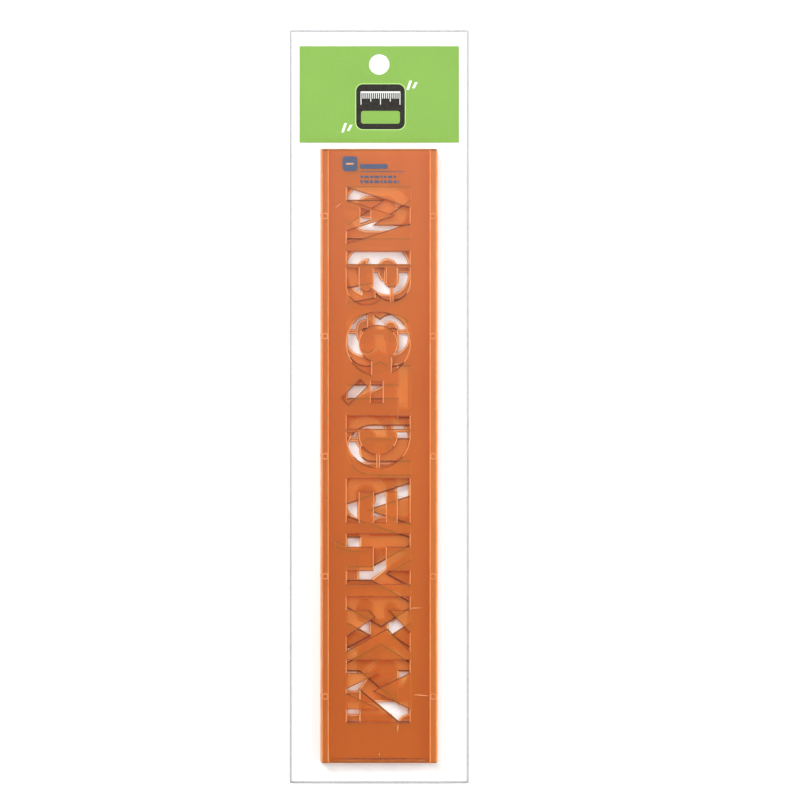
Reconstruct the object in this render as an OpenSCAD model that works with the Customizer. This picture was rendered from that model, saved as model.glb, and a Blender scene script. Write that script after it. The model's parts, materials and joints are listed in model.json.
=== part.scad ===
// Set of three lettering stencils in a clear hanging pouch with a header card.
// The pouch lies on its back: X runs across it, Y up towards the hanging hole,
// and Z towards the viewer. The origin is under the middle of the pouch.

/* [Lettering] */
// Height of the capitals and figures
cap_h = 24.6; // [20:0.1:30]
// Width of an upright stroke
stem_w = 5; // [4:0.1:6]
// Thickness of a level stroke
bar_h = 4.7; // [3.9:0.1:5.6]
// Thickness of the level parts of a round figure
figure_bar_h = 4.4; // [3.6:0.1:5.3]
// Height of the middle bar above the baseline
waist_h = 10.6; // [9:0.1:12.7]
// Width of the bridges that hold the islands
bridge_w = 1.4; // [1:0.1:2]
// Drop of the comma below the baseline
comma_drop = 4.4; // [3:0.1:6]

/* [Plates] */
// Width of a plate over its rails
plate_w = 44.8; // [40:0.1:54]
// Thickness of the web that carries the letters
web_t = 1.1; // [0.8:0.1:1.6]
// Width of the thick rail along each long edge
rail_w = 2.7; // [2.2:0.1:3.4]
// Height of a rail, web included
rail_h = 1.9; // [1.7:0.1:2.6]
// Blank length before the first letter of a row
letter_head = 14.8; // [10:0.1:20]
// Blank length before the first figure
figure_head = 13.6; // [10:0.1:20]
// Blank length after the end of the longest row
tail_blank = 13.6; // [10:0.1:20]
// Distance of the baseline from the plate's middle
base_x = 12.7; // [11:0.1:16]
// Radius of the small round marks on the rails
mark_r = 0.9; // [0.6:0.05:1.1]
// Depth of those marks
mark_depth = 0.2; // [0.1:0.05:0.4]
// Distance between neighbouring marks
mark_pitch = 46.8; // [38:0.1:55]
// Gap between two stacked plates
stack_gap = 0.1; // [0.05:0.05:0.3]

/* [Pouch] */
// Thickness of each film
film_t = 0.1; // [0.06:0.02:0.2]
// Width of the welded seam along the sides and the top
weld_w = 1.2; // [0.8:0.1:2]
// Width of film from the plates to each side edge of the pouch
side_room = 12.6; // [9:0.1:15]
// Length of film past the lower ends of the plates
mouth_room = 8.1; // [5:0.1:10]
// Gap between the plates and the film
film_gap = 0.2; // [0.1:0.05:0.4]

/* [Header card] */
// Gap from each side edge of the pouch to the card
card_room = 3.9; // [2.4:0.1:5]
// Height of the card
card_l = 37.6; // [30:0.1:46]
// Thickness of the card
card_t = 0.4; // [0.25:0.05:0.6]
// Distance from the top of the pouch to the card
card_drop = 6.3; // [4:0.1:8]
// Distance from the top of the card to the middle of the hanging hole
hole_drop = 7.1; // [6:0.1:9]
// Radius of the hanging hole
hole_r = 4; // [3:0.1:4.8]
// Gap between the card and the upper ends of the plates
card_gap = 2.9; // [2.4:0.1:4]

/* [Hidden] */
$fn = 64;
past = 1;

// Each row lists the glyph, its width and the gap after it
ROW_A_M = [["A", 21.8, 3.1], ["B", 20.7, 2.9], ["C", cap_h, 1.8], ["joiners", 9.6, 4.5],
  ["D", 20.1, 4.3], ["E", 17, 4.5], ["H", 19.5, 5.1], ["K", 21.1, 3.5], ["M", 24.2, 0]];
ROW_N_Z = [["N", 19.9, 5.2], ["R", 19.9, 4.7], ["S", 19.9, 0.2], ["T", 19.9, 3.2], ["U", 19.1, 3.3],
  ["V", 21.1, 0.2], ["comma", stem_w, -2.1], ["Y", 22.2, 2.4], ["X", 21.1, 3.5], ["Z", 19.5, 0]];
ROW_FIGURES = [["1", 9.8, 4.1], ["2", 16.9, 5.1], ["3", 18.7, 2.7], ["4", 19.1, 3.9], ["5", 19.1, 3.5],
  ["6", 18.3, 3.1], ["7", 16.8, 3.5], ["8", 19.1, 4.7], ["9", 19.1, 5.8], ["0", 18.5, 0]];

// Length of the first count entries of a row, gaps included
function row_length(row, count) = count == 0 ? 0 : row[count - 1][1] + row[count - 1][2] + row_length(row, count - 1);

letters_end = letter_head + max(row_length(ROW_A_M, len(ROW_A_M)), row_length(ROW_N_Z, len(ROW_N_Z)));
figures_end = figure_head + row_length(ROW_FIGURES, len(ROW_FIGURES));
plate_l = max(letters_end, figures_end) + tail_blank;

// Small shifts of the plates from one another, as they lie loose in the pouch
shift_middle = [0.3, 0.2];
shift_bottom = [-0.5, 0.4];
slack = 0.5;

pouch_w = plate_w + 2 * side_room;
card_w = pouch_w - 2 * card_room;
pouch_l = card_drop + card_l + card_gap + plate_l + mouth_room;
pouch_top = pouch_l / 2;
plates_y = pouch_top - card_drop - card_l - card_gap - plate_l / 2;
plates_top = plates_y + plate_l / 2 + slack;
hole_y = pouch_top - card_drop - hole_drop;

plate_pitch = rail_h + stack_gap;
stack_z = film_t + film_gap;
stack_h = 2 * plate_pitch + rail_h;
room_h = film_gap + stack_h + film_gap;
room_w = plate_w + 2 * slack + 2 * film_gap;

// Flat top of the letter A, and the width of its feet and of the arms of the V
apex_w = 6.2;
foot_w = 4.9;

// Half of a pill: straight from x0, round at its right end
module half_pill(x0, x1, h) {
  translate([x0, 0]) square([x1 - h / 2 - x0, h]);
  intersection() {
    translate([x1 - h / 2, h / 2]) circle(h / 2);
    translate([x0, 0]) square([x1 - x0, h]);
  }
}

// Bowl of a B, D or R: the stroke round a half pill
module bowl(x0, x1, h) {
  difference() {
    half_pill(x0, x1, h);
    translate([0, bar_h]) half_pill(x0 - past, x1 - stem_w, h - 2 * bar_h);
  }
}

// Pill lying on its side, or standing up if it is taller than wide
module pill(w, h) {
  r = min(w, h) / 2;
  for (end = [[r, r], [w - r, h - r]]) translate(end) circle(r);
  if (w > h) translate([r, 0]) square([w - 2 * r, h]);
  if (h > w) translate([0, r]) square([w, h - 2 * r]);
}

// Stroke round a pill, as wide as a stem at its sides
module pill_ring(w, h, bar) {
  difference() {
    pill(w, h);
    translate([stem_w, bar]) pill(w - 2 * stem_w, h - 2 * bar);
  }
}

// Upright gap in the middle of a figure, which ties its islands to the web
module middle_bridge(w, y0, y1) {
  translate([(w - bridge_w) / 2, y0]) square([bridge_w, y1 - y0]);
}

module letter_a(w) {
  bar_y = 5.4;
  bar_t = 3.9;
  lean = (w - apex_w) / 2 / cap_h;
  notch_y = (w / 2 - foot_w) / lean;
  low_x = foot_w + lean * bar_y + bridge_w;
  high_x = foot_w + lean * (bar_y + bar_t) + bridge_w;
  polygon([[0, 0], [(w - apex_w) / 2, cap_h], [(w + apex_w) / 2, cap_h], [w, 0],
    [w - foot_w, 0], [w / 2, notch_y], [foot_w, 0]]);
  polygon([[low_x, bar_y], [high_x, bar_y + bar_t], [w - high_x, bar_y + bar_t], [w - low_x, bar_y]]);
}

module letter_b(w) {
  bowls_x = stem_w + bridge_w;
  slot_x = 5;
  upper_y = waist_h;
  square([stem_w, cap_h]);
  difference() {
    union() {
      bowl(bowls_x, w, upper_y + bar_h);
      translate([0, upper_y]) bowl(bowls_x, w - bridge_w, cap_h - upper_y);
    }
    translate([bowls_x + slot_x, (upper_y + cap_h - bridge_w) / 2]) square([w, bridge_w]);
  }
}

module letter_c(w) {
  mouth_h = 8;
  difference() {
    pill(w, cap_h);
    translate([stem_w, bar_h]) pill(w - 2 * stem_w, cap_h - 2 * bar_h);
    translate([w / 2, waist_h - past]) square([w, mouth_h]);
  }
}

// Slanted and level slots that turn C into G and O into Q
module joiners(w) {
  slant_l = 10;
  slant_t = 3.7;
  slant_y = 3;
  level_y = 9.4;
  translate([w / 2, slant_y]) rotate(-45) square([slant_l, slant_t], center = true);
  translate([0.6, level_y]) square([w - 1.4, bar_h]);
}

module letter_d(w) {
  bowl_x = stem_w + bridge_w;
  square([stem_w, cap_h]);
  difference() {
    bowl(bowl_x, w, cap_h);
    translate([w / 2, (cap_h - bridge_w) / 2]) square([w, bridge_w]);
  }
}

module letter_e(w) {
  square([stem_w, cap_h]);
  for (y = [0, waist_h, cap_h - bar_h]) translate([0, y]) square([w, bar_h]);
}

module letter_h(w) {
  for (x = [0, w - stem_w]) translate([x, 0]) square([stem_w, cap_h]);
  translate([0, waist_h]) square([w, bar_h]);
}

// Arm and leg of the K meet the stem and each other at fixed shares of the height
module letter_k(w) {
  arm_w = 7.1;
  leg_w = 5.5;
  square([stem_w, cap_h]);
  polygon([[stem_w, cap_h * 0.35], [stem_w, cap_h * 0.66], [w - arm_w, cap_h], [w, cap_h]]);
  polygon([[w * 0.35, cap_h * 0.48], [w * 0.57, cap_h * 0.66], [w, 0], [w - leg_w, 0]]);
}

module letter_m(w) {
  vertex_w = 1.6;
  lean = 0.49;
  notch_y = cap_h - (w / 2 - stem_w) / lean;
  armpit_y = (w / 2 - vertex_w / 2 - stem_w) / lean;
  for (x = [0, w - stem_w]) translate([x, 0]) square([stem_w, cap_h]);
  polygon([[stem_w, cap_h], [w / 2, notch_y], [w - stem_w, cap_h], [w - stem_w, armpit_y],
    [(w + vertex_w) / 2, 0], [(w - vertex_w) / 2, 0], [stem_w, armpit_y]]);
}

module letter_n(w) {
  slant_h = 10;
  for (x = [0, w - stem_w]) translate([x, 0]) square([stem_w, cap_h]);
  polygon([[stem_w, cap_h], [stem_w, cap_h - slant_h], [w - stem_w, 0], [w - stem_w, slant_h]]);
}

module letter_r(w) {
  leg_w = 5.6;
  leg_run = 2;
  bowl_x = stem_w + bridge_w;
  bowl_y = waist_h - past;
  square([stem_w, cap_h]);
  translate([0, bowl_y]) bowl(bowl_x, w - 1, cap_h - bowl_y);
  polygon([[w - leg_w, 0], [w, 0], [w - leg_run, bowl_y + past], [w - leg_w - leg_run, bowl_y + past]]);
}

module letter_s(w) {
  lower_h = waist_h + bar_h;
  upper_h = cap_h - waist_h;
  difference() {
    pill_ring(w, lower_h, bar_h);
    translate([-past, lower_h / 2]) square([w / 2 + past, lower_h / 2 - bar_h]);
  }
  difference() {
    translate([0, waist_h]) pill_ring(w, upper_h, bar_h);
    translate([w / 2, waist_h + bar_h]) square([w, upper_h / 2 - bar_h]);
  }
}

module letter_t(w) {
  translate([0, cap_h - bar_h]) square([w, bar_h]);
  translate([(w - stem_w) / 2, 0]) square([stem_w, cap_h]);
}

module letter_u(w) {
  difference() {
    pill(w, cap_h + w);
    translate([stem_w, bar_h]) pill(w - 2 * stem_w, cap_h + w);
    translate([-past, cap_h]) square([w + 2 * past, w + past]);
  }
}

module letter_v(w) {
  vertex_w = 4.7;
  lean = (w - vertex_w) / 2 / cap_h;
  notch_y = cap_h - (w / 2 - foot_w) / lean;
  polygon([[0, cap_h], [foot_w, cap_h], [w / 2, notch_y], [w - foot_w, cap_h], [w, cap_h],
    [(w + vertex_w) / 2, 0], [(w - vertex_w) / 2, 0]]);
}

module comma(w) {
  tip = 1.6;
  square([w, w]);
  polygon([[w - tip, 0], [w, 0], [w, 0.5], [w / 2 + tip / 2, -comma_drop], [w / 2 - tip / 2, -comma_drop]]);
}

module letter_y(w) {
  arm_w = 5.8;
  fork_h = 9.6;
  notch_h = 14.9;
  polygon([[0, cap_h], [arm_w, cap_h], [w / 2, notch_h], [w - arm_w, cap_h], [w, cap_h],
    [(w + stem_w) / 2, fork_h], [(w + stem_w) / 2, 0], [(w - stem_w) / 2, 0], [(w - stem_w) / 2, fork_h]]);
}

module letter_x(w) {
  arm_w = 5.6;
  waist = 6.4;
  low_y = 9;
  mid_y = 13.2;
  high_y = 17;
  polygon([[0, 0], [arm_w, 0], [w / 2, low_y], [w - arm_w, 0], [w, 0], [(w + waist) / 2, mid_y],
    [w, cap_h], [w - arm_w, cap_h], [w / 2, high_y], [arm_w, cap_h], [0, cap_h], [(w - waist) / 2, mid_y]]);
}

module letter_z(w) {
  slant_w = 6.8;
  for (y = [0, cap_h - bar_h]) translate([0, y]) square([w, bar_h]);
  polygon([[0, bar_h], [slant_w, bar_h], [w, cap_h - bar_h], [w - slant_w, cap_h - bar_h]]);
}

module figure_0(w) {
  difference() {
    pill_ring(w, cap_h, figure_bar_h);
    middle_bridge(w, -past, cap_h + past);
  }
}

module figure_1(w) {
  flag_h = 6.6;
  curl_r = 4;
  flag_w = w - stem_w;
  translate([flag_w, 0]) square([stem_w, cap_h]);
  difference() {
    translate([0, cap_h - flag_h]) square([flag_w, flag_h]);
    translate([flag_w - curl_r, cap_h]) circle(curl_r);
    translate([-past, cap_h - curl_r]) square([flag_w - curl_r + past, curl_r + past]);
  }
}

module figure_2(w) {
  top_h = 15.4;
  square([w, bar_h]);
  difference() {
    translate([0, cap_h - top_h]) pill_ring(w, top_h, figure_bar_h);
    translate([-past, cap_h - top_h - past]) square([w + 2 * past, top_h / 2 + past]);
  }
  polygon([[0, bar_h], [stem_w + 2, bar_h], [w, cap_h - top_h / 2], [w - stem_w, cap_h - top_h / 2],
    [w - stem_w - 0.8, cap_h - top_h + 3.6]]);
}

module figure_3(w) {
  lower_h = waist_h + figure_bar_h + 0.4;
  upper_h = cap_h - waist_h;
  tip_w = stem_w + 1;
  low_tip = waist_h - 1.2;
  high_tip = waist_h + 6.1;
  difference() {
    union() {
      pill_ring(w, lower_h, figure_bar_h);
      translate([0, waist_h]) pill_ring(w - 1, upper_h, figure_bar_h);
    }
    translate([-past, low_tip]) square([tip_w + past, high_tip - low_tip]);
  }
}

module figure_4(w) {
  stem_x = w - stem_w - 1.8;
  slot_x = stem_x - bridge_w;
  level_y = 5.2;
  slant_h = 9;
  translate([stem_x, 0]) square([stem_w, cap_h]);
  translate([0, level_y]) square([slot_x, bar_h]);
  polygon([[0, level_y + bar_h], [slot_x, cap_h], [slot_x, cap_h - slant_h], [4.4, level_y + bar_h]]);
  translate([stem_x, level_y]) square([w - stem_x, bar_h]);
}

module figure_5(w) {
  lower_h = 16.2;
  tip_w = stem_w + 1.6;
  neck_x = 1.6;
  difference() {
    pill_ring(w, lower_h, figure_bar_h);
    translate([-past, figure_bar_h + 0.4]) square([tip_w + past, lower_h - 2 * figure_bar_h - 0.4]);
  }
  translate([neck_x, lower_h / 2 + 2.6]) square([stem_w, cap_h - lower_h / 2 - 2.6]);
  translate([neck_x, cap_h - bar_h]) square([w - neck_x - 1, bar_h]);
}

module figure_6(w) {
  lower_h = 16.2;
  tip_w = 6;
  difference() {
    union() {
      pill_ring(w, lower_h, figure_bar_h);
      difference() {
        pill_ring(w, cap_h, figure_bar_h);
        translate([w / 2, lower_h / 2]) square([w, cap_h - lower_h / 2 - bar_h - 1.4]);
        translate([stem_w, 0]) square([w, lower_h / 2]);
      }
    }
    middle_bridge(w, -past, lower_h + past);
  }
}

module figure_7(w) {
  slant_w = 5.6;
  foot_x = 1.6;
  translate([0, cap_h - bar_h]) square([w, bar_h]);
  polygon([[foot_x, 0], [foot_x + slant_w, 0], [w, cap_h - bar_h], [w - slant_w, cap_h - bar_h]]);
}

module figure_8(w) {
  lower_h = waist_h + figure_bar_h + 0.4;
  difference() {
    union() {
      pill_ring(w, lower_h, figure_bar_h);
      translate([0.5, waist_h]) pill_ring(w - 1, cap_h - waist_h, figure_bar_h);
    }
    middle_bridge(w, -past, cap_h + past);
  }
}

module figure_9(w) {
  translate([w, cap_h]) rotate(180) figure_6(w);
}

module glyph(name, w) {
  if (name == "A") letter_a(w);
  if (name == "B") letter_b(w);
  if (name == "C") letter_c(w);
  if (name == "joiners") joiners(w);
  if (name == "D") letter_d(w);
  if (name == "E") letter_e(w);
  if (name == "H") letter_h(w);
  if (name == "K") letter_k(w);
  if (name == "M") letter_m(w);
  if (name == "N") letter_n(w);
  if (name == "R") letter_r(w);
  if (name == "S") letter_s(w);
  if (name == "T") letter_t(w);
  if (name == "U") letter_u(w);
  if (name == "V") letter_v(w);
  if (name == "comma") comma(w);
  if (name == "Y") letter_y(w);
  if (name == "X") letter_x(w);
  if (name == "Z") letter_z(w);
  if (name == "0") figure_0(w);
  if (name == "1") figure_1(w);
  if (name == "2") figure_2(w);
  if (name == "3") figure_3(w);
  if (name == "4") figure_4(w);
  if (name == "5") figure_5(w);
  if (name == "6") figure_6(w);
  if (name == "7") figure_7(w);
  if (name == "8") figure_8(w);
  if (name == "9") figure_9(w);
}

// Slots of one row, read from the head of the plate at +Y down to its foot
module row_slots(row, head) {
  for (i = [0 : len(row) - 1])
    translate([-base_x, plate_l / 2 - head - row_length(row, i)])
      rotate(-90) glyph(row[i][0], row[i][1]);
}

// One plate, lying face up about its own middle, rails upward
module plate(row, head) {
  difference() {
    union() {
      linear_extrude(web_t) difference() {
        square([plate_w, plate_l], center = true);
        row_slots(row, head);
      }
      for (side = [-1, 1])
        translate([side * (plate_w - rail_w) / 2, 0, web_t / 2])
          linear_extrude(rail_h - web_t / 2) square([rail_w, plate_l], center = true);
    }
    for (side = [-1, 1], i = [-2 : 2])
      translate([side * (plate_w - rail_w) / 2, i * mark_pitch, rail_h - mark_depth])
        cylinder(r = mark_r, h = mark_depth + past);
  }
}

module plate_letters_a_to_m() {
  color([0.85, 0.42, 0.2]) translate([0, plates_y, stack_z + 2 * plate_pitch]) plate(ROW_A_M, letter_head);
}

module plate_letters_n_to_z() {
  color([0.82, 0.4, 0.2])
    translate([shift_middle[0], plates_y + shift_middle[1], stack_z + plate_pitch]) plate(ROW_N_Z, letter_head);
}

// The plate of figures lies turned over end for end, rails downward
module plate_numbers() {
  color([0.78, 0.38, 0.18])
    translate([shift_bottom[0], plates_y + shift_bottom[1], stack_z + rail_h])
      rotate([180, 0, 0]) plate(ROW_FIGURES, figure_head);
}

module header_card() {
  color([0.6, 0.81, 0.4]) translate([0, pouch_top - card_drop - card_l / 2, film_t])
    difference() {
      linear_extrude(card_t) square([card_w, card_l], center = true);
      translate([0, card_l / 2 - hole_drop, -past]) cylinder(r = hole_r, h = card_t + 2 * past);
    }
}

module pouch_back_film() {
  color([0.9, 0.93, 0.95, 0.3]) difference() {
    linear_extrude(film_t) square([pouch_w, pouch_l], center = true);
    translate([0, hole_y, -past]) cylinder(r = hole_r, h = film_t + 2 * past);
  }
}

// Section across the pouch: flat seams, sloping sides and a level top over the plates
module across(grow) {
  edge = pouch_w / 2 - weld_w + grow;
  crown = room_w / 2 + grow;
  polygon([[-edge, -past], [edge, -past], [edge, 0], [crown, room_h + grow], [-crown, room_h + grow], [-edge, 0]]);
}

// Section along the pouch: low over the card, then rising over the plates to the open mouth
module along(grow) {
  top = pouch_top - weld_w + grow;
  rise_start = pouch_top - card_drop - card_l;
  low = card_t + grow;
  high = room_h + grow;
  polygon([[-pouch_l / 2 - past, -past], [top, -past], [top, 0], [top - weld_w, low],
    [rise_start, low], [plates_top, high], [-pouch_l / 2 - past, high]]);
}

// Space under the front film, thicker by grow on every side
module pouch_room(grow) {
  intersection() {
    rotate([90, 0, 0]) linear_extrude(pouch_l + 2 * past, center = true) across(grow);
    rotate([90, 0, 90]) linear_extrude(pouch_w + 2 * past, center = true) along(grow);
  }
}

module pouch_front_film() {
  color([0.9, 0.93, 0.95, 0.3]) translate([0, 0, film_t]) difference() {
    union() {
      linear_extrude(film_t) square([pouch_w, pouch_l], center = true);
      intersection() {
        pouch_room(film_t);
        linear_extrude(room_h + past) square([pouch_w, pouch_l], center = true);
      }
    }
    pouch_room(0);
    translate([0, hole_y, -past]) cylinder(r = hole_r, h = room_h);
  }
}

plate_letters_a_to_m();
plate_letters_n_to_z();
plate_numbers();
header_card();
pouch_back_film();
pouch_front_film();
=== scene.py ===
"""Lettering stencil set in its clear hanging pouch, seen from straight above."""

import json
import math

import bmesh
import bpy
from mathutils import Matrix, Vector, noise


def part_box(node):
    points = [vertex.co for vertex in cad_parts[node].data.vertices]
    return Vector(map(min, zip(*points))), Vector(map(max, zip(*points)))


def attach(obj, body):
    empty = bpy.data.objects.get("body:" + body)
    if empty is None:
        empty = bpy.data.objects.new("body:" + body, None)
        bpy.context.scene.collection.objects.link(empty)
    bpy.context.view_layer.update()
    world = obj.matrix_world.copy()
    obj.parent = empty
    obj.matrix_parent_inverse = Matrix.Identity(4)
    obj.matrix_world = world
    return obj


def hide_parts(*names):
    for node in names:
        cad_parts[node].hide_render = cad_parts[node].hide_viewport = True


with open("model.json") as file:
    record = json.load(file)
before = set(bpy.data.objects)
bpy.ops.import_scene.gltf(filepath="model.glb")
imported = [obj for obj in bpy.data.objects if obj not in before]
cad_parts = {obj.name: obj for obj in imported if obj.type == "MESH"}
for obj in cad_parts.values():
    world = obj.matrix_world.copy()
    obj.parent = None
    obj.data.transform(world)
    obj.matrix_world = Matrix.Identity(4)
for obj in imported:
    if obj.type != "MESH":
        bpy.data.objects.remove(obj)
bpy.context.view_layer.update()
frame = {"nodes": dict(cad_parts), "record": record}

MM = 0.001
WHITE = (1.0, 1.0, 1.0, 1.0)
BLACK = (0.0, 0.0, 0.0, 1.0)

PLATES = {
    "plate_letters_a_to_m": "letters_a_to_m",
    "plate_letters_n_to_z": "letters_n_to_z",
    "plate_numbers": "numbers",
}


# Materials


def linear(r, g, b):
    """A screen colour, 0 to 255, as the linear colour a shader takes."""

    def one(v):
        v /= 255
        return v / 12.92 if v <= 0.04045 else ((v + 0.055) / 1.055) ** 2.4

    return (one(r), one(g), one(b), 1.0)


class Nodes:
    """Short ways to add shader nodes to a new material."""

    def __init__(self, name):
        self.material = bpy.data.materials.new(name)
        self.material.use_nodes = True
        self.tree = self.material.node_tree
        self.tree.nodes.clear()
        self.out = self.tree.nodes.new("ShaderNodeOutputMaterial")

    def link(self, source, target):
        self.tree.links.new(source, target)

    def add(self, kind, values=None, **settings):
        node = self.tree.nodes.new(kind)
        for key, value in settings.items():
            setattr(node, key, value)
        for key, value in (values or {}).items():
            if isinstance(value, bpy.types.NodeSocket):
                self.link(value, node.inputs[key])
            else:
                node.inputs[key].default_value = value
        return node

    def coords(self):
        return self.add("ShaderNodeTexCoord").outputs["Object"]

    def scaled(self, vector, scale):
        return self.add("ShaderNodeMapping", {"Vector": vector, "Scale": scale}).outputs[0]

    def noise(self, vector, scale, detail=2.0, rough=0.5):
        values = {"Vector": vector, "Scale": scale, "Detail": detail, "Roughness": rough}
        return self.add("ShaderNodeTexNoise", values).outputs["Fac"]

    def math(self, operation, a, b=0.0, clamp=False):
        node = self.add("ShaderNodeMath", {0: a, 1: b}, operation=operation)
        node.use_clamp = clamp
        return node.outputs[0]

    def ramp(self, fac, low, high, to_low=0.0, to_high=1.0):
        values = {"Value": fac, "From Min": low, "From Max": high}
        values.update({"To Min": to_low, "To Max": to_high})
        return self.add("ShaderNodeMapRange", values).outputs[0]

    def blend(self, fac, a, b, mode="MIX"):
        node = self.add("ShaderNodeMix", data_type="RGBA", blend_type=mode)
        for socket, value in ((node.inputs[0], fac), (node.inputs[6], a), (node.inputs[7], b)):
            if isinstance(value, bpy.types.NodeSocket):
                self.link(value, socket)
            else:
                socket.default_value = value
        return node.outputs[2]

    def bump(self, height, strength, distance):
        values = {"Height": height, "Strength": strength, "Distance": distance}
        return self.add("ShaderNodeBump", values).outputs[0]

    def mix_shader(self, fac, a, b):
        node = self.add("ShaderNodeMixShader", {0: fac, 1: a, 2: b})
        return node.outputs[0]

    def finish(self, shader):
        self.link(shader, self.out.inputs["Surface"])
        return self.material


# Places across a plate, from its middle line, in metres: where the painted shade beside the rails
# and the painted light on the rails start and are full
RAIL_SHADE_FROM = 0.0135
RAIL_SHADE_FULL = 0.0185
RAIL_FROM = 0.0190
RAIL_FULL = 0.0196
RAIL_STEP = 0.0001
# Painted light: the rails' brighter colour and extra scatter share.
RAIL_PAINTED_LIGHT = (1.0, 0.5, 0.12, 1.0)
RAIL_PAINTED_LIGHT_COVER = 0.12


def dimmed(colour, factors):
    return tuple(c * f for c, f in zip(colour, factors)) + (1.0,)


def plate_material(name, tint, body, cover, roughness=0.3):
    """Orange plastic: each surface tints what is behind it, scatters a share and is glossy."""
    n = Nodes(name)
    at = n.coords()
    cloud = n.noise(at, 22.0, 2.0)
    flow = n.noise(n.scaled(at, (210.0, 9.0, 60.0)), 1.0, 3.0)
    fine = n.noise(at, 900.0, 2.0)
    scratch = n.noise(n.scaled(at, (1900.0, 45.0, 60.0)), 1.0, 1.0)
    across = n.add("ShaderNodeSeparateXYZ", {0: at}).outputs[0]
    out = n.math("ABSOLUTE", across)
    # Painted shade: the strips of plastic beside the rails are made a little darker.
    shade_by_rails = n.ramp(out, RAIL_SHADE_FROM, RAIL_SHADE_FULL)
    shade_by_rails = n.math("MULTIPLY", shade_by_rails, n.ramp(out, RAIL_FROM, RAIL_FULL, 1.0, 0.0))
    # Painted light on the rails: a brighter copy of the plastic, brighter towards the right side,
    # with a random cloud in it.
    rail_light = n.ramp(out, RAIL_FROM + RAIL_STEP, RAIL_FULL + RAIL_STEP)
    right_light_and_cloud = n.math("ADD", cloud, n.math("MULTIPLY", across, 12.0))
    rail_light = n.math("MULTIPLY", rail_light, n.ramp(right_light_and_cloud, 0.1, 0.9, 0.35, 1.0))
    mixed = n.math("ADD", n.math("MULTIPLY", cloud, 0.5), n.math("MULTIPLY", flow, 0.5))
    shade = n.math("SUBTRACT", n.ramp(mixed, 0.38, 0.62), n.math("MULTIPLY", shade_by_rails, 0.8))
    shade = n.ramp(shade, -0.8, 1.0)
    see = n.blend(shade, dimmed(tint, (0.985, 0.9, 0.88)), tint)
    solid = n.blend(shade, dimmed(body, (0.95, 0.86, 0.84)), body)
    solid = n.blend(rail_light, solid, RAIL_PAINTED_LIGHT)
    share = n.ramp(rail_light, 0.0, 1.0, cover, cover + RAIL_PAINTED_LIGHT_COVER)
    height = n.math("ADD", n.math("MULTIPLY", flow, 0.5), n.math("MULTIPLY", fine, 0.1))
    height = n.math("ADD", height, n.math("MULTIPLY", n.ramp(scratch, 0.64, 0.76), 0.4))
    normal = n.bump(height, 0.22, 0.0001)
    through = n.add("ShaderNodeBsdfTransparent", {"Color": see})
    values = {"Base Color": solid, "Roughness": roughness, "Normal": normal}
    surface = n.add("ShaderNodeBsdfPrincipled", {**values, "Specular IOR Level": 0.0})
    onward = n.add("ShaderNodeBsdfTranslucent", {"Color": solid, "Normal": normal})
    scatter = n.mix_shader(0.15, surface.outputs[0], onward.outputs[0])
    inner = n.mix_shader(share, through.outputs[0], scatter)
    return n.finish(glossed(n, inner, normal, roughness, 0.4))


def glossed(n, inner, normal, roughness, share, less=0.0):
    """Puts a clear reflection, weakest straight on, over the inner shader."""
    shine = {"Base Color": WHITE, "Metallic": 1.0, "Roughness": roughness, "Normal": normal}
    gloss = n.add("ShaderNodeBsdfPrincipled", shine)
    fresnel = n.add("ShaderNodeFresnel", {"IOR": 1.45, "Normal": normal}).outputs[0]
    fresnel = n.math("SUBTRACT", fresnel, less, clamp=True)
    return n.mix_shader(n.math("MULTIPLY", fresnel, share, clamp=True), inner, gloss.outputs[0])


def edge_material(name, low, high, cover):
    """Low ridge on a plate. Its colour is a painted highlight or a painted shade line."""
    n = Nodes(name)
    at = n.coords()
    wear = n.noise(at, 160.0, 3.0, 0.6)
    colour = n.blend(n.ramp(wear, 0.35, 0.68), low, high)
    normal = n.bump(wear, 0.2, 0.0001)
    pale = n.blend(0.7, colour, WHITE)
    through = n.add("ShaderNodeBsdfTransparent", {"Color": pale})
    values = {"Base Color": colour, "Roughness": 0.3, "Specular IOR Level": 0.0, "Normal": normal}
    surface = n.add("ShaderNodeBsdfPrincipled", values)
    inner = n.mix_shader(cover, through.outputs[0], surface.outputs[0])
    return n.finish(glossed(n, inner, normal, 0.25, 0.6))


def film_material(name):
    """Thin clear film: seen through, with soft glints and faint fine creases."""
    n = Nodes(name)
    at = n.coords()
    crease = n.noise(n.scaled(at, (70.0, 26.0, 30.0)), 1.0, 4.0, 0.55)
    fine = n.noise(at, 520.0, 2.0)
    normal = n.bump(n.math("ADD", crease, n.math("MULTIPLY", fine, 0.05)), 0.25, 0.0004)
    clear = n.add("ShaderNodeBsdfTransparent", {"Color": (0.985, 0.988, 0.99, 1.0)})
    return n.finish(glossed(n, clear.outputs[0], normal, 0.12, 0.45, 0.03))


def weld_material(name, grey, cover):
    """Pressed and cut film: clear, with a frosted grey share."""
    n = Nodes(name)
    at = n.coords()
    mottle = n.noise(at, 700.0, 3.0)
    colour = n.blend(n.ramp(mottle, 0.3, 0.7), tuple(0.88 * c for c in grey[:3]) + (1.0,), grey)
    clear = n.add("ShaderNodeBsdfTransparent", {"Color": (0.97, 0.97, 0.975, 1.0)})
    normal = n.bump(mottle, 0.4, 0.0001)
    values = {"Base Color": colour, "Roughness": 0.45, "Normal": normal}
    frost = n.add("ShaderNodeBsdfPrincipled", values)
    return n.finish(n.mix_shader(cover, clear.outputs[0], frost.outputs[0]))


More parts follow.
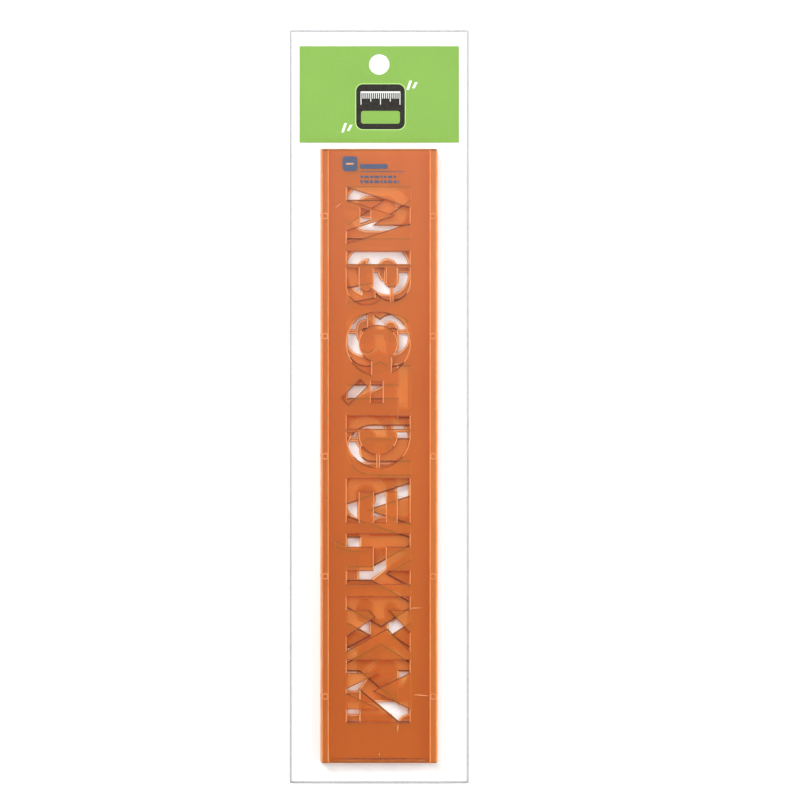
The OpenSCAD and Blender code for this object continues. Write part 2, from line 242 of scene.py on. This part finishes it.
def card_material(name, colour, other):
    """Printed card: even ink over faint paper fibre, with a satin varnish."""
    n = Nodes(name)
    at = n.coords()
    fibre = n.noise(n.scaled(at, (900.0, 2400.0, 900.0)), 1.0, 3.0, 0.6)
    patch = n.noise(at, 45.0, 2.0)
    grain = n.noise(at, 3800.0, 1.0)
    ink = n.blend(n.ramp(patch, 0.35, 0.65), other, colour)
    ink = n.blend(n.ramp(fibre, 0.35, 0.7, 0.0, 0.02), ink, WHITE)
    ink = n.blend(n.ramp(grain, 0.55, 0.8, 0.0, 0.05), ink, BLACK)
    normal = n.bump(n.math("ADD", fibre, n.math("MULTIPLY", grain, 0.4)), 0.2, 0.00006)
    values = {"Base Color": ink, "Roughness": 0.5, "Specular IOR Level": 0.12, "Normal": normal}
    surface = n.add("ShaderNodeBsdfPrincipled", values)
    return n.finish(surface.outputs[0])


FLOOR_GLOW = 0.12


def floor_material(name):
    """Pale table. A small glow, seen straight on or in a reflection, makes it white."""
    n = Nodes(name)
    speck = n.noise(n.coords(), 250.0, 2.0)
    colour = n.blend(speck, (0.97, 0.97, 0.97, 1.0), (0.985, 0.985, 0.985, 1.0))
    diffuse = n.add("ShaderNodeBsdfDiffuse", {"Color": colour}).outputs[0]
    path = n.add("ShaderNodeLightPath")
    seen = n.math("MAXIMUM", path.outputs["Is Camera Ray"], path.outputs["Is Glossy Ray"])
    seen = n.math("MAXIMUM", seen, path.outputs["Is Transmission Ray"])
    strength = n.math("MULTIPLY", seen, FLOOR_GLOW)
    glow = n.add("ShaderNodeEmission", {"Color": WHITE, "Strength": strength})
    both = n.add("ShaderNodeAddShader", {0: diffuse, 1: glow.outputs[0]})
    return n.finish(both.outputs[0])


TINT = (0.957, 0.63, 0.4, 1.0)
BODY = (0.96, 0.49, 0.09, 1.0)
COVER = 0.22
# Painted light: the slot walls get a brighter, more solid copy of the plastic, for the orange glow
# in the slots.
WALL_PAINTED_GLOW = (1.0, 0.5, 0.17, 1.0)
WALL_COVER = 0.8
PLASTIC, WALLS = {}, {}
for node, body in PLATES.items():
    PLASTIC[node] = plate_material("orange_" + body, TINT, BODY, COVER)
    WALLS[node] = plate_material("wall_" + body, TINT, WALL_PAINTED_GLOW, WALL_COVER)
# Painted light and shade: each plate's lips get their own colours, dark or bright by the wall's
# direction, for the lit and shaded lines along the edges.
TOP_LIP_LIGHT_AND_SHADE = (
    edge_material("top_lip_level_painted_shade", linear(176, 86, 40), linear(214, 112, 58), 0.4),
    edge_material("top_lip_slant_painted_shade", linear(112, 46, 18), linear(180, 86, 40), 0.6),
    edge_material("top_lip_end_painted_highlight", linear(255, 158, 92), linear(255, 190, 130), 0.75),
)
MIDDLE_LIP_LIGHT_AND_SHADE = (
    edge_material("middle_lip_level_painted_shade", linear(92, 34, 14), linear(160, 72, 30), 0.7),
    edge_material("middle_lip_slant_painted_shade", linear(84, 30, 12), linear(150, 66, 28), 0.8),
    edge_material("middle_lip_end_painted_highlight", linear(255, 170, 104), linear(255, 204, 146), 0.85),
)
BOTTOM_LIP_HIGHLIGHTS = (
    edge_material("bottom_lip_level_painted_highlight", linear(252, 160, 98), linear(255, 190, 134), 0.8),
    edge_material("bottom_lip_slant_painted_highlight", linear(252, 172, 110), linear(255, 200, 146), 0.85),
    edge_material("bottom_lip_end_painted_highlight", linear(252, 172, 110), linear(255, 200, 146), 0.85),
)
# Painted light: the thin draft edge round the slots gets a paler copy of the plastic, for the warm
# glow at the slot edges.
DRAFT_PAINTED_GLOW = plate_material("thin_draft_painted_glow", (1.0, 0.8, 0.58, 1.0), (1.0, 0.7, 0.42, 1.0), 0.25)
DRAFT_WIDTHS = {"plate_letters_n_to_z": 0.25, "plate_numbers": 0.25}
LIP_LIGHT_AND_SHADE_SETS = dict(zip(PLATES, (TOP_LIP_LIGHT_AND_SHADE, MIDDLE_LIP_LIGHT_AND_SHADE, BOTTOM_LIP_HIGHLIGHTS)))
LIP_WIDTHS = dict(zip(PLATES, (0.34, 0.42, 0.6)))
FILM = film_material("clear_film")
# The rim's grey is partly the frost of a cut film edge and partly painted shade for the thin dark
# outline round the pouch.
RIM_FROST_AND_SHADE = weld_material("film_rim_frost_and_painted_shade", linear(196, 197, 198), 0.3)
WELD = weld_material("film_weld", linear(225, 227, 228), 0.08)
GREEN = card_material("green_card", linear(141, 185, 83), linear(138, 182, 81))
INK = card_material("black_ink", linear(34, 28, 20), linear(28, 22, 16))
PALE_GREEN = card_material("pale_green_ink", linear(196, 232, 146), linear(190, 228, 140))
WHITE_INK = card_material("white_ink", linear(250, 251, 248), linear(244, 246, 242))
SLATE = card_material("slate_ink", linear(74, 88, 118), linear(86, 96, 122))
# Pale orange colour for thin lines that are painted highlights.
PALE_HIGHLIGHT = edge_material("mould_lines_painted_highlight", linear(255, 168, 110), linear(255, 190, 135), 0.85)


# Mesh helpers


def piece(name, mesh, material, body):
    mesh.materials.append(material)
    obj = bpy.data.objects.new(name, mesh)
    bpy.context.scene.collection.objects.link(obj)
    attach(obj, body)
    return obj


def mesh_of(name, bm, smooth=False):
    bmesh.ops.recalc_face_normals(bm, faces=bm.faces)
    mesh = bpy.data.meshes.new(name)
    bm.to_mesh(mesh)
    bm.free()
    if smooth:
        for face in mesh.polygons:
            face.use_smooth = True
    return mesh


def slab(bm, outline, z0, z1):
    """Adds a flat closed plate with that outline, in mm."""
    lower = [bm.verts.new((x * MM, y * MM, z0 * MM)) for x, y in outline]
    upper = [bm.verts.new((x * MM, y * MM, z1 * MM)) for x, y in outline]
    bm.faces.new(list(reversed(lower)))
    bm.faces.new(upper)
    count = len(outline)
    for i in range(count):
        j = (i + 1) % count
        bm.faces.new((lower[i], lower[j], upper[j], upper[i]))


def rounded(x0, y0, x1, y1, r, steps=8):
    """Outline of a rectangle with round corners."""
    points = []
    centres = ((x1 - r, y1 - r), (x0 + r, y1 - r), (x0 + r, y0 + r), (x1 - r, y0 + r))
    for quarter, (cx, cy) in enumerate(centres):
        start = 90 * quarter
        for k in range(steps + 1):
            a = math.radians(start + 90 * k / steps)
            points.append((cx + r * math.cos(a), cy + r * math.sin(a)))
    return points


# Plates

WALL_NZ = 0.2
LEVEL_NZ = 0.9
RAIL_IN, RAIL_OUT = 20.0, 22.1
SLOTS_HALF_W, SLOTS_HALF_L = 15.0, 116.0


def top_edges(obj, up):
    """Ends and wall normals of the edges round a plate's upper (up=1) or lower (up=-1) faces."""
    mesh = obj.data
    level, walls = {}, {}
    for face in mesh.polygons:
        nz = face.normal.z
        middle_z = face.center.z / MM
        corners = [tuple(round(c / MM, 3) for c in mesh.vertices[i].co) for i in face.vertices]
        for a, b in zip(corners, corners[1:] + corners[:1]):
            if nz * up > LEVEL_NZ:
                level[(a, b)] = True
            elif abs(nz) < WALL_NZ and (middle_z - a[2]) * up < 0:
                walls[(b, a)] = face.normal.copy()
    return [(a, b, walls[(a, b)]) for (a, b) in level if (a, b) in walls and (b, a) not in level]


def lip_kind(place, normal):
    """0 for walls across the row, 1 for slanting and round ones, 2 for ends, rails and marks."""
    in_rail = RAIL_IN < abs(place.x) < RAIL_OUT
    if in_rail or abs(normal.x) > 0.8:
        return 2
    return 0 if abs(normal.y) > 0.985 else 1


# Profiles as (way out from the wall in widths, rise in mm)
LIP = ((0.0, -0.18), (0.0, 0.012), (-0.35, 0.035), (-0.75, 0.028), (-1.0, -0.004))
FLASH = ((-0.1, 0.05), (-0.1, -0.75), (0.3, -0.35), (0.75, -0.06), (1.0, -0.02), (1.0, 0.0))


def lips(name, obj, up, materials, width, body, profile=LIP, slots_only=False):
    """A bead with that profile round every level edge of a plate, or round its slots alone."""
    edges = top_edges(obj, up)
    if slots_only:
        middle_y = sum(v.co.y for v in obj.data.vertices) / len(obj.data.vertices) / MM
        edges = [e for e in edges if abs(e[0][0]) < SLOTS_HALF_W]
        edges = [e for e in edges if abs(e[0][1] - middle_y) < SLOTS_HALF_L]
    after = {a: (b, n) for a, b, n in edges}
    before = {b: (a, n) for a, b, n in edges}
    bm = bmesh.new()
    rings = {}
    for point in after:
        if point not in before:
            continue
        n0, n1 = before[point][1], after[point][1]
        mitre = (n0 + n1) / max(0.35, (n0 + n1).length_squared / 2)
        x, y, z = point
        ring = []
        for out, rise in profile:
            px, py = x + mitre.x * width * out, y + mitre.y * width * out
            ring.append(bm.verts.new(Vector((px, py, z + up * rise)) * MM))
        rings[point] = ring
    for a, (b, n) in after.items():
        if a not in rings or b not in rings:
            continue
        r0, r1 = rings[a], rings[b]
        for i in range(len(profile)):
            j = (i + 1) % len(profile)
            face = bm.faces.new((r0[i], r0[j], r1[j], r1[i]))
            # The kind picks the lip's painted shade or painted highlight colour.
            face.material_index = lip_kind(Vector(a), n) if len(materials) > 1 else 0
    mesh = mesh_of(name, bm)
    obj = piece(name, mesh, materials[0], body)
    for material in materials[1:]:
        mesh.materials.append(material)
    return obj


for node, body in PLATES.items():
    plate = frame["nodes"][node]
    plate.data.materials.clear()
    plate.data.materials.append(PLASTIC[node])
    plate.data.materials.append(WALLS[node])
    for face in plate.data.polygons:
        face.material_index = 1 if abs(face.normal.z) < WALL_NZ else 0
    for side, up in (("upper", 1), ("lower", -1)):
        lips(body + "_" + side + "_lips", plate, up, LIP_LIGHT_AND_SHADE_SETS[node], LIP_WIDTHS[node], body)
    if node in DRAFT_WIDTHS:
        lips(body + "_draft", plate, -1, (DRAFT_PAINTED_GLOW,), DRAFT_WIDTHS[node], body, FLASH, True)

# Film

card_low, card_high = (tuple(v / MM for v in c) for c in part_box("header_card"))
film_low, film_high = (tuple(v / MM for v in c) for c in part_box("pouch_back_film"))
tent_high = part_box("pouch_front_film")[1][2] / MM
stack_low = [min(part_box(n)[0][k] for n in PLATES) / MM for k in range(3)]
stack_high = [max(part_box(n)[1][k] for n in PLATES) / MM for k in range(3)]
HOLE_R = 4.0
HOLE_Y = frame["record"]["mounts"][0]["pos_m"][1] / MM
POUCH_W, POUCH_L = film_high[0] - film_low[0], film_high[1] - film_low[1]
WELD_W = 1.2
CORNER_R = 0.8
FILM_Z = 0.05
LOW_Z = card_high[2] + FILM_Z
HIGH_Z = tent_high - FILM_Z
# Half width of the front film's level middle
CROWN = 23.1
SEAM_Z = 0.15
RISE_GAP = 0.1
CARD_HALF_W = 31.1


def tent(x, y):
    """Height of the front film's middle over the pouch, in mm, without its creases."""
    seam = POUCH_W / 2 - WELD_W
    base = SEAM_Z
    side = (seam - abs(x)) / (seam - CROWN)
    across = base + (HIGH_Z - base) * max(0.0, min(1.0, side))
    top = film_high[1] - WELD_W
    over_card = base + (LOW_Z - base) * max(0.0, min(1.0, (top - y) / WELD_W))
    rise_end = stack_high[1] + RISE_GAP
    rise = (card_low[1] - y) / (card_low[1] - rise_end)
    along = over_card + (HIGH_Z - LOW_Z) * max(0.0, min(1.0, rise))
    return min(across, along)


FREE_TO = 33.0
FADE = 2.5


def creases(x, y):
    """Soft tension folds on the film's free stretches, in mm."""
    beside = min(1.0, max(0.0, (abs(x) - CROWN) / FADE))
    free = beside * min(1.0, max(0.0, (FREE_TO - abs(x)) / FADE))
    p = Vector((x * 0.05, y * 0.022, 3.1))
    wide = noise.noise(p) * 0.5
    drift = 3.0 * noise.noise(Vector((x * 0.03, y * 0.015, 8.0)))
    fold = math.sin(0.32 * y + 0.25 * abs(x) + drift)
    return free * (0.22 * wide + 0.1 * fold * (0.4 + noise.noise(Vector((0.0, y * 0.03, 1.0)))))


def spread(lo, hi, step, marks=()):
    """Grid lines from lo to hi about a step apart, with the marks among them."""
    lines = {round(lo, 4), round(hi, 4)} | {round(m, 4) for m in marks if lo < m < hi}
    count = max(1, round((hi - lo) / step))
    for k in range(1, count):
        v = lo + (hi - lo) * k / count
        if all(abs(v - m) > step * 0.45 for m in marks):
            lines.add(round(v, 4))
    return sorted(lines)


HOLE_STEPS = 48


def faces_near_hole(bm, reach):
    """The faces whose middles lie within that many mm of the hanging hole's middle."""
    middle = Vector((0, HOLE_Y, 0))
    return [f for f in bm.faces if (f.calc_center_median() / MM - middle).length < reach]


def cut_hole(bm):
    """Cuts the round hanging hole out of a flat grid."""
    ring = []
    for k in range(HOLE_STEPS):
        a = 2 * math.pi * k / HOLE_STEPS
        ring.append((HOLE_R * math.cos(a), HOLE_Y + HOLE_R * math.sin(a)))
    for (xa, ya), (xb, yb) in zip(ring, ring[1:] + ring[:1]):
        normal = Vector((yb - ya, xa - xb, 0.0))
        near = faces_near_hole(bm, 2 * HOLE_R)
        edges = {e for f in near for e in f.edges}
        geom = list(edges | {v for f in near for v in f.verts}) + near
        start = (xa * MM, ya * MM, 0)
        bmesh.ops.bisect_plane(bm, geom=geom, plane_co=start, plane_no=normal, dist=1e-8)
    bmesh.ops.delete(bm, geom=faces_near_hole(bm, HOLE_R * 0.999), context="FACES")


def sheet_of_film(name, height):
    """A film with round corners and the hanging hole cut out, as one fine grid."""
    right = (CROWN, POUCH_W / 2 - WELD_W, HOLE_R, CARD_HALF_W)
    x_marks = [s * v for s in (-1, 1) for v in right] + [0.0]
    y_marks = [card_low[1], card_high[1], stack_high[1] + RISE_GAP]
    y_marks += [film_high[1] - WELD_W, film_high[1] - 2 * WELD_W]
    y_marks += [HOLE_Y - HOLE_R, HOLE_Y, HOLE_Y + HOLE_R]
    xs = spread(-POUCH_W / 2, POUCH_W / 2, 1.5, x_marks)
    ys = spread(film_low[1], film_high[1], 2.0, y_marks)
    bm = bmesh.new()
    grid = {}
    for i, x in enumerate(xs):
        for j, y in enumerate(ys):
            grid[i, j] = bm.verts.new((x * MM, y * MM, 0.0))
    for i in range(len(xs) - 1):
        for j in range(len(ys) - 1):
            bm.faces.new((grid[i, j], grid[i + 1, j], grid[i + 1, j + 1], grid[i, j + 1]))
    cut_hole(bm)
    for v in bm.verts:
        x, y = v.co.x / MM, v.co.y / MM
        # the outer corners are drawn in to a small radius
        cx, cy = POUCH_W / 2 - CORNER_R, POUCH_L / 2 - CORNER_R
        if abs(x) > cx and abs(y) > cy:
            d = Vector((abs(x) - cx, abs(y) - cy))
            reach = max(d.x, d.y)
            if d.length > 0:
                d = d.normalized() * reach
            x = math.copysign(cx + d.x, x)
            y = math.copysign(cy + d.y, y)
        v.co = Vector((x, y, height(x, y))) * MM
    bmesh.ops.remove_doubles(bm, verts=bm.verts, dist=1e-6)
    return mesh_of(name, bm, smooth=True)


def front_height(x, y):
    return min(tent(x, y) + creases(x, y), tent_high - 0.02)


def back_height(x, y):
    return 0.05 + 0.03 * noise.noise(Vector((x * 0.06, y * 0.03, 5.0)))


front = piece("front_film", sheet_of_film("front_film", front_height), FILM, "pouch")
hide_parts("pouch_front_film")
back = piece("back_film", sheet_of_film("back_film", back_height), FILM, "pouch")
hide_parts("pouch_back_film")

# Cut edges and pressed seams of the film, as a low bead that follows each film's height
RIM_W = 0.75


def strip(name, path, width, height, thick, material, ribs=0.0):
    """A closed flat bead along a path of (x, y, inward x, inward y), in mm."""
    bm = bmesh.new()
    rows = []
    for k, (x, y, nx, ny) in enumerate(path):
        lift = ribs * (k % 2)
        ring = []
        for s, up in ((0.0, 0.0), (0.0, 0.6), (0.3, 1.0), (0.75, 1.0), (1.0, 0.5), (1.0, 0.0)):
            px, py = x + nx * width * s, y + ny * width * s
            pz = height(px, py) - thick / 2 + (thick + lift) * up
            ring.append(bm.verts.new(Vector((px, py, pz)) * MM))
        rows.append(ring)
    for a, b in zip(rows, rows[1:]):
        for i in range(len(a)):
            j = (i + 1) % len(a)
            bm.faces.new((a[i], a[j], b[j], b[i]))
    bm.faces.new(rows[0])
    bm.faces.new(list(reversed(rows[-1])))
    return piece(name, mesh_of(name, bm, smooth=True), material, "pouch")


def edge_path(inset, step=1.2):
    """Round the pouch from its lower right corner up, over the top and down the left side."""
    w, top, low, r = POUCH_W / 2 - inset, POUCH_L / 2 - inset, -POUCH_L / 2, CORNER_R
    path = []
    count = int((top - r - low) / step)
    for k in range(count + 1):
        path.append((w, low + (top - r - low) * k / count, -1.0, 0.0))
    for k in range(1, 8):
        a = math.radians(90 * k / 8)
        c, s = math.cos(a), math.sin(a)
        path.append((w - r + r * c, top - r + r * s, -c, -s))
    count = int(2 * (w - r) / step)
    for k in range(count + 1):
        path.append((w - r - 2 * (w - r) * k / count, top, 0.0, -1.0))
    right = path[: int((top - r - low) / step) + 8]
    return path + [(-x, y, -nx, ny) for x, y, nx, ny in reversed(right)]


def seam_height(x, y):
    return 0.1


strip("outer_rim", edge_path(0.0), RIM_W, seam_height, 0.14, RIM_FROST_AND_SHADE)
strip("pressed_seam", edge_path(RIM_W, 0.55), WELD_W - RIM_W, seam_height, 0.06, WELD, ribs=0.06)


def mouth_path(count=90):
    """Along the pouch's open lower end, from left to right."""
    half = POUCH_W / 2 - RIM_W
    return [(-half + 2 * half * k / count, -POUCH_L / 2, 0.0, 1.0) for k in range(count + 1)]


strip("front_mouth_edge", mouth_path(), RIM_W, front_height, 0.08, RIM_FROST_AND_SHADE)
strip("back_mouth_edge", mouth_path(), RIM_W, back_height, 0.05, RIM_FROST_AND_SHADE)

# Header card

card = frame["nodes"]["header_card"]
card.data.materials.clear()
card.data.materials.append(GREEN)
round_card = card.modifiers.new("soften", "BEVEL")
round_card.limit_method = "ANGLE"
round_card.angle_limit = math.radians(60)
round_card.width = 0.06 * MM
round_card.segments = 2

PRINT_Z = card_high[2]
PRINT_T = 0.012
LABEL_Y = 117.0


def printed(name, outlines, z, material, body, thick=PRINT_T):
    bm = bmesh.new()
    for outline in outlines:
        slab(bm, outline, z, z + thick)
    return piece(name, mesh_of(name, bm), material, body)


LABEL_X = 0.5
PANEL_W, PANEL_H = 19.0, 17.6


def framed(w, h, r):
    """Outline of a rounded rectangle round the middle of the label."""
    return rounded(LABEL_X - w / 2, LABEL_Y - h / 2, LABEL_X + w / 2, LABEL_Y + h / 2, r)


def on_card(name, outlines, layer, ink):
    """Print on the header card, that many layers of print above its face."""
    return printed(name, outlines, PRINT_Z + layer * PRINT_T, ink, "pouch")


on_card("card_panel_border", [framed(PANEL_W + 0.7, PANEL_H + 0.7, 3.0)], 0, PALE_GREEN)
on_card("card_panel", [framed(PANEL_W, PANEL_H, 2.7)], 1, INK)

SCALE_W, TICKS = 15.2, 20
SCALE_X = LABEL_X - SCALE_W / 2
SCALE_Y = LABEL_Y + 5.4
TICK_HALF = 0.15
SCALE_END = LABEL_X + SCALE_W / 2 + TICK_HALF
ticks = [rounded(SCALE_X - TICK_HALF, SCALE_Y, SCALE_END, SCALE_Y + 0.6, 0.15, 3)]
for k in range(TICKS + 1):
    x = SCALE_X + SCALE_W * k / TICKS
    drop = 4.6 if k % 10 == 0 else 3.4 if k % 5 == 0 else 2.2
    ticks.append(rounded(x - TICK_HALF, SCALE_Y - drop, x + TICK_HALF, SCALE_Y + 0.1, 0.06, 2))
on_card("card_ticks", ticks, 2, WHITE_INK)

FIELD_HALF, FIELD_H = 7.6, 5.0
FIELD_Y = LABEL_Y - 6.6
field = rounded(LABEL_X - FIELD_HALF, FIELD_Y, LABEL_X + FIELD_HALF, FIELD_Y + FIELD_H, 1.0)
on_card("card_field", [field], 2, GREEN)

DASH_PLACES = ((10.6, 125.4), (-14.8, 108.8))
DASH_W, DASH_LEAN = 1.0, 1.2
dashes = []
for cx, cy in DASH_PLACES:
    for dx, length in ((0.0, 3.6), (2.2, 2.4)):
        x, low, high = cx + dx, cy - length / 2, cy + length / 2
        top_x = x + DASH_LEAN
        dashes.append([(x, low), (x + DASH_W, low), (top_x + DASH_W, high), (top_x, high)])
on_card("card_dashes", dashes, 0, WHITE_INK)

# Print on the top plate

RAIL_OVER_WEB = 0.8
WEB_Z = stack_high[2] - RAIL_OVER_WEB
TOP_BODY = "letters_a_to_m"
PRINT_ON_PLATE_T = 0.01
PX = 0.39
MIDDLE_PX = (379.2, 406.65)


def at_photo(px, py):
    """The photo's pixel as a place on the pouch, in mm."""
    return (px - MIDDLE_PX[0]) * PX, (MIDDLE_PX[1] - py) * PX


def photo_box(left, top, right, bottom, r, steps=8):
    """Outline of a round-cornered box between those pixels of the photo."""
    x0, y1 = at_photo(left, top)
    x1, y0 = at_photo(right, bottom)
    return rounded(x0, y0, x1, y1, r, steps)


# Pixels of the photo: the print's square, its bar, its thin line and its two rows of blocks
SQUARE_PX = (342.5, 156.5, 357.5, 171.5)
BAR_PX = (360.0, 164.3, 387.5, 169.0)
LINE_PX = (360.0, 171.4, 404.6, 172.1)
ROWS_PX = ((175.9, 396.0, 2.3), (180.6, 399.0, 2.7))
ROW_START_PX = 360.5
BLOCKS_PX = (2.6, 4.2, 3.1, 5.0, 2.2)
BLOCK_GAP_PX = 1.3
print_parts = [photo_box(*SQUARE_PX, 1.3), photo_box(*BAR_PX, 0.3, 3), photo_box(*LINE_PX, 0.1, 2)]
for top, end, height in ROWS_PX:
    px = ROW_START_PX
    k = 0
    while px < end:
        width = BLOCKS_PX[k % len(BLOCKS_PX)]
        print_parts.append(photo_box(px, top, min(px + width, end), top + height, 0.12, 2))
        px += width + BLOCK_GAP_PX
        k += 1
printed("plate_print", print_parts, WEB_Z, SLATE, TOP_BODY, PRINT_ON_PLATE_T)

# A pale bar in the square's middle, coloured as a painted highlight.
SQUARE_MIDDLE_PX = (350.0, 164.0)
bar_x, bar_y = at_photo(*SQUARE_MIDDLE_PX)
bar = rounded(bar_x - 1.5, bar_y - 0.3, bar_x + 1.5, bar_y + 0.3, 0.2, 3)
bar_z = WEB_Z + PRINT_ON_PLATE_T
printed("plate_print_bar", [bar], bar_z, PALE_HIGHLIGHT, TOP_BODY, PRINT_ON_PLATE_T)


def mould_line(bm, ax, ay, bx, by, width, height, z):
    """A low ridge with pointed ends from a to b."""
    a, b = Vector((ax, ay)), Vector((bx, by))
    along = (b - a).normalized()
    side = Vector((-along.y, along.x)) * width / 2
    rings = []
    for k in range(9):
        t = k / 8
        c = a.lerp(b, t)
        s = math.sin(math.pi * (0.08 + 0.84 * t))
        ring = []
        for q in range(5):
            angle = math.pi * q / 4
            p = c + side * math.cos(angle) * s
            ring.append(bm.verts.new(Vector((p.x, p.y, z + height * math.sin(angle) * s)) * MM))
        rings.append(ring)
    for r0, r1 in zip(rings, rings[1:]):
        for i in range(5):
            j = (i + 1) % 5
            bm.faces.new((r0[i], r0[j], r1[j], r1[i]))
    bm.faces.new(rings[0])
    bm.faces.new(list(reversed(rings[-1])))


# Thin ridges whose pale colour is a painted highlight.
# From pixel, to pixel, and width in mm
MOULD_LINE_HIGHLIGHTS = (
    ((413.5, 694.5), (429.0, 695.5), 0.5),
    ((409.0, 608.0), (423.0, 607.6), 0.35),
    ((398.0, 724.5), (397.6, 731.5), 0.45),
    ((379.3, 752.5), (379.6, 755.5), 0.3),
    ((335.5, 208.0), (341.5, 203.5), 0.3),
)
bm = bmesh.new()
for start, end, width in MOULD_LINE_HIGHLIGHTS:
    (ax, ay), (bx, by) = at_photo(*start), at_photo(*end)
    mould_line(bm, ax, ay, bx, by, width, 0.12, WEB_Z)
piece("mould_lines_painted_highlight", mesh_of("mould_lines_painted_highlight", bm, smooth=True), PALE_HIGHLIGHT, TOP_BODY)

# A painted dark shade line and a painted highlight band across the top plate's web near its end.
END_SHADE_LINE = edge_material("end_line_painted_shade", linear(150, 66, 34), linear(184, 88, 48), 0.55)
END_HIGHLIGHT_BAND = edge_material("end_band_painted_highlight", linear(226, 138, 74), linear(214, 124, 60), 0.45)
# Name, row in the photo, width and height in mm, and material
END_PARTS = (
    ("plate_end_line", 758.3, 0.5, 0.05, END_SHADE_LINE),
    ("plate_end_band", 760.3, 1.1, 0.03, END_HIGHLIGHT_BAND),
)
WEB_FROM_PX, WEB_TO_PX = 330.3, 428.7
for name, row, width, height, material in END_PARTS:
    bm = bmesh.new()
    (ax, y), (bx, _) = at_photo(WEB_FROM_PX, row), at_photo(WEB_TO_PX, row)
    mould_line(bm, ax, y, bx, y, width, height, WEB_Z)
    piece(name, mesh_of(name, bm, smooth=True), material, TOP_BODY)

# Floor, light, camera

FLOOR_SIZE, FLOOR_Z = 6.0, -0.00002
bpy.ops.mesh.primitive_plane_add(size=FLOOR_SIZE, location=(0, 0, FLOOR_Z))
floor = bpy.context.object
floor.name = "floor"
floor.data.materials.append(floor_material("pale_table"))


def lamp(name, place, size, watts):
    data = bpy.data.lights.new(name, "AREA")
    data.shape = "RECTANGLE"
    data.size, data.size_y = size
    data.energy = watts
    obj = bpy.data.objects.new(name, data)
    bpy.context.scene.collection.objects.link(obj)
    obj.location = place
    obj.rotation_euler = (-Vector(place)).to_track_quat("-Z", "Y").to_euler()


lamp("key", (-0.55, 0.75, 1.15), (0.7, 0.7), 13.8)
lamp("fill", (0.9, -0.3, 0.9), (0.8, 0.8), 8.4)
lamp("back", (0.1, 1.3, 0.5), (0.8, 0.3), 2.2)
lamp("sheen", (0.02, 0.22, 1.3), (0.3, 0.3), 2.4)

world = bpy.data.worlds.new("studio")
bpy.context.scene.world = world
world.use_nodes = True
tree = world.node_tree
tree.nodes.clear()
SKY_STRENGTH, SEEN_STRENGTH = 0.4, 1.0
sky = tree.nodes.new("ShaderNodeBackground")
sky.inputs["Color"].default_value = WHITE
sky.inputs["Strength"].default_value = SKY_STRENGTH
path = tree.nodes.new("ShaderNodeLightPath")
white = tree.nodes.new("ShaderNodeBackground")
white.inputs["Color"].default_value = WHITE
white.inputs["Strength"].default_value = SEEN_STRENGTH
mix = tree.nodes.new("ShaderNodeMixShader")
world_out = tree.nodes.new("ShaderNodeOutputWorld")
tree.links.new(path.outputs["Is Camera Ray"], mix.inputs[0])
tree.links.new(sky.outputs[0], mix.inputs[1])
tree.links.new(white.outputs[0], mix.inputs[2])
tree.links.new(mix.outputs[0], world_out.inputs["Surface"])

scene = bpy.context.scene
scene.view_settings.view_transform = "Standard"
scene.cycles.transparent_max_bounces = 32

camera_data = bpy.data.cameras.new("camera")
camera_data.sensor_width = 36.0
camera_data.lens = 400.0
camera = bpy.data.objects.new("camera", camera_data)
scene.collection.objects.link(camera)
scene.camera = camera
PHOTO_PX = 800
VIEW_W = PHOTO_PX * PX * MM
centre = at_photo(PHOTO_PX / 2, PHOTO_PX / 2)
DISTANCE = VIEW_W * camera_data.lens / camera_data.sensor_width
camera.location = (centre[0] * MM, centre[1] * MM, DISTANCE + 0.002)
camera.rotation_euler = (0.0, 0.0, 0.0)
camera_data.clip_start, camera_data.clip_end = 0.05, 10.0
